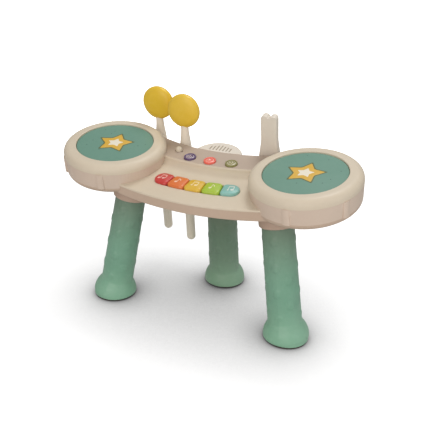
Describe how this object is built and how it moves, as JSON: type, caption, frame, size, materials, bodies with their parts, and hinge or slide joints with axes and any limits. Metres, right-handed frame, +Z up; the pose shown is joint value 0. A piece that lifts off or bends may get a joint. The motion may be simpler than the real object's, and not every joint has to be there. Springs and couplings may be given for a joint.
{
  "type": "musical activity table",
  "caption": "Toddler's musical activity table: round drums with pressable pads beside a crescent keyboard console, with lift-out drumsticks and an upright post, on splayed legs.",
  "frame": {"origin": "on the floor, in the middle of the table's outline seen from above", "axes": "+X to the right of the child who plays at the front, +Y away from the child, +Z up"},
  "size_m": [0.4706, 0.2109, 0.3345],
  "materials": {
    "cream_abs": "warm cream ABS, satin moulded surface",
    "taupe_abs": "taupe ABS, fine matt texture",
    "sage_pe": "sage green blow-moulded polyethylene, fine texture with small raised bumps",
    "pad_skin": "teal green pad, satin, with a printed star",
    "yellow": "warm yellow, satin gloss",
    "key_red": "tinted gloss key",
    "key_orange": "tinted gloss key",
    "key_yellow": "tinted gloss key",
    "key_green": "tinted gloss key",
    "key_blue": "tinted gloss key",
    "cap_purple": "gloss button cap",
    "cap_coral": "gloss button cap",
    "cap_olive": "gloss button cap",
    "silicone": "translucent grey silicone",
    "board": "green glass-fibre board with solder mask",
    "speaker": "dark grey steel frame and paper cone",
    "cells": "steel cans with a plain sleeve",
    "black_abs": "dark grey ABS",
    "foot_rubber": "dark thermoplastic rubber"
  },
  "bodies": {
    "table": {"console_top": "cream_abs", "console_base": "taupe_abs", "control_panel": "taupe_abs", "speaker_cover": "cream_abs", "speaker": "speaker", "circuit_board": "board", "key_membrane": "silicone", "battery_box": "black_abs", "battery_cells": "cells", "battery_door": "taupe_abs", "left_drum_rim": "cream_abs", "left_drum_shell": "cream_abs", "left_drum_base": "cream_abs", "left_pad_switch": "board", "right_drum_rim": "cream_abs", "right_drum_shell": "cream_abs", "right_drum_base": "cream_abs", "right_pad_switch": "board", "stick_holder": "cream_abs", "mic_socket": "cream_abs", "mic_post": "cream_abs", "left_leg": "sage_pe", "right_leg": "sage_pe", "rear_leg": "sage_pe", "left_leg_socket": "taupe_abs", "right_leg_socket": "taupe_abs", "rear_leg_socket": "taupe_abs", "left_foot_pad": "foot_rubber", "right_foot_pad": "foot_rubber", "rear_foot_pad": "foot_rubber"},
    "key_1": {"key_1": "key_red"},
    "key_2": {"key_2": "key_orange"},
    "key_3": {"key_3": "key_yellow"},
    "key_4": {"key_4": "key_green"},
    "key_5": {"key_5": "key_blue"},
    "button_1": {"button_1": "cap_purple"},
    "button_2": {"button_2": "cap_coral"},
    "button_3": {"button_3": "cap_olive"},
    "volume_thumb": {"volume_thumb": "cream_abs"},
    "left_pad": {"left_drum_pad": "pad_skin"},
    "right_pad": {"right_drum_pad": "pad_skin"},
    "outer_stick": {"outer_stick_handle": "cream_abs", "outer_stick_head": "yellow"},
    "inner_stick": {"inner_stick_handle": "cream_abs", "inner_stick_head": "yellow"}
  },
  "joints": [
    {"name": "key_1_press", "type": "slide", "parent": "table", "child": "key_1", "axis": [0, 0.1994, -0.9799], "range_m": [0, 0.0025], "stiffness_N_per_m": 300, "springref_m": -0.002},
    {"name": "key_2_press", "type": "slide", "parent": "table", "child": "key_2", "axis": [0, 0.1994, -0.9799], "range_m": [0, 0.0025], "stiffness_N_per_m": 300, "springref_m": -0.002},
    {"name": "key_3_press", "type": "slide", "parent": "table", "child": "key_3", "axis": [0, 0.1994, -0.9799], "range_m": [0, 0.0025], "stiffness_N_per_m": 300, "springref_m": -0.002},
    {"name": "key_4_press", "type": "slide", "parent": "table", "child": "key_4", "axis": [0, 0.1994, -0.9799], "range_m": [0, 0.0025], "stiffness_N_per_m": 300, "springref_m": -0.002},
    {"name": "key_5_press", "type": "slide", "parent": "table", "child": "key_5", "axis": [0, 0.1994, -0.9799], "range_m": [0, 0.0025], "stiffness_N_per_m": 300, "springref_m": -0.002},
    {"name": "button_1_press", "type": "slide", "parent": "table", "child": "button_1", "axis": [0, 0.1994, -0.9799], "range_m": [0, 0.0015], "stiffness_N_per_m": 400, "springref_m": -0.0015},
    {"name": "button_2_press", "type": "slide", "parent": "table", "child": "button_2", "axis": [0, 0.1994, -0.9799], "range_m": [0, 0.0015], "stiffness_N_per_m": 400, "springref_m": -0.0015},
    {"name": "button_3_press", "type": "slide", "parent": "table", "child": "button_3", "axis": [0, 0.1994, -0.9799], "range_m": [0, 0.0015], "stiffness_N_per_m": 400, "springref_m": -0.0015},
    {"name": "volume_slide", "type": "slide", "parent": "table", "child": "volume_thumb", "axis": [1, 0, 0], "range_m": [-0.004, 0.004]},
    {"name": "left_pad_press", "type": "slide", "parent": "table", "child": "left_pad", "axis": [-0.0698, 0.1989, -0.9775], "range_m": [0, 0.0015], "stiffness_N_per_m": 1200, "springref_m": -0.002},
    {"name": "right_pad_press", "type": "slide", "parent": "table", "child": "right_pad", "axis": [0.0698, 0.1989, -0.9775], "range_m": [0, 0.0015], "stiffness_N_per_m": 1200, "springref_m": -0.002},
    {"name": "outer_stick_lift", "type": "slide", "parent": "table", "child": "outer_stick", "axis": [0, -0.1323, 0.9912], "range_m": [0, 0.18]},
    {"name": "inner_stick_lift", "type": "slide", "parent": "table", "child": "inner_stick", "axis": [0, -0.1323, 0.9912], "range_m": [0, 0.18]}
  ]
}
